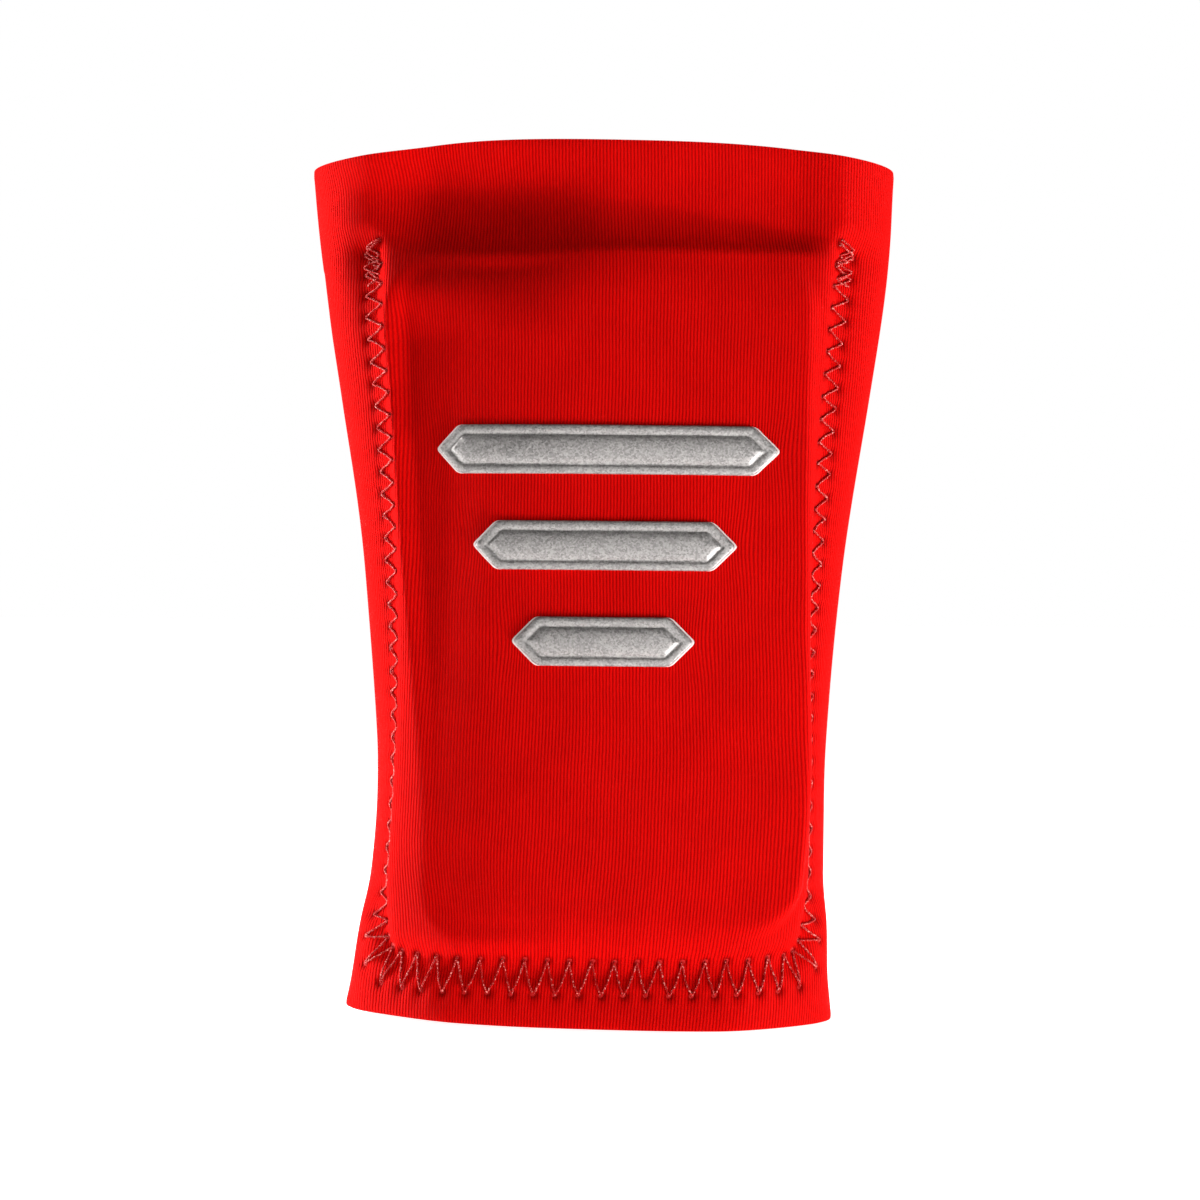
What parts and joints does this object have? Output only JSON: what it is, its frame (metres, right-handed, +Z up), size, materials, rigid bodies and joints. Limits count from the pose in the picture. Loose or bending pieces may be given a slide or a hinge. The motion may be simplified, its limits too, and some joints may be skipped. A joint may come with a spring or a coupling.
{
  "type": "forearm guard",
  "caption": "Slip-on stretch forearm sleeve with a zigzag-sewn inner pocket that holds a removable, slightly curved protective shield.",
  "frame": {"origin": "middle of the flat wrist-end rim, which the guard stands on", "axes": "+Z up the forearm from the wrist end to the wider elbow end, -Y out of the shielded front, +X to the right seen from the front"},
  "size_m": [0.104, 0.0483, 0.153],
  "materials": {
    "face_knit": "satin",
    "foam_core": "matte",
    "lining_knit": "matte",
    "pocket_mesh": "matte",
    "binding_tape": "matte",
    "seam_thread": "satin",
    "shield_cover_fabric": "matte",
    "shield_shell_plastic": "satin",
    "shield_foam": "matte",
    "badge_silver": "gloss",
    "badge_film": "satin",
    "label_satin": "satin"
  },
  "bodies": {
    "sleeve": {"sleeve_face_knit": "face_knit", "sleeve_foam_core": "foam_core", "sleeve_lining": "lining_knit", "pocket_panel": "pocket_mesh", "pocket_mouth_binding": "binding_tape", "pocket_seam_needle_thread": "seam_thread", "pocket_seam_bobbin_thread": "seam_thread", "backtack_left": "seam_thread", "backtack_right": "seam_thread", "back_seam_cover_thread": "seam_thread", "back_seam_looper_thread": "seam_thread", "badge_bar_top": "badge_silver", "badge_bar_middle": "badge_silver", "badge_bar_bottom": "badge_silver", "badge_film_top": "badge_film", "badge_film_middle": "badge_film", "badge_film_bottom": "badge_film", "care_label": "label_satin"},
    "shield": {"shield_front_cover": "shield_cover_fabric", "shield_shell": "shield_shell_plastic", "shield_foam": "shield_foam", "shield_back_cover": "shield_cover_fabric"}
  },
  "joints": [
    {"name": "shield_slide", "type": "slide", "parent": "sleeve", "child": "shield", "axis": [0, 0, 1], "range_m": [0, 0.145]}
  ]
}
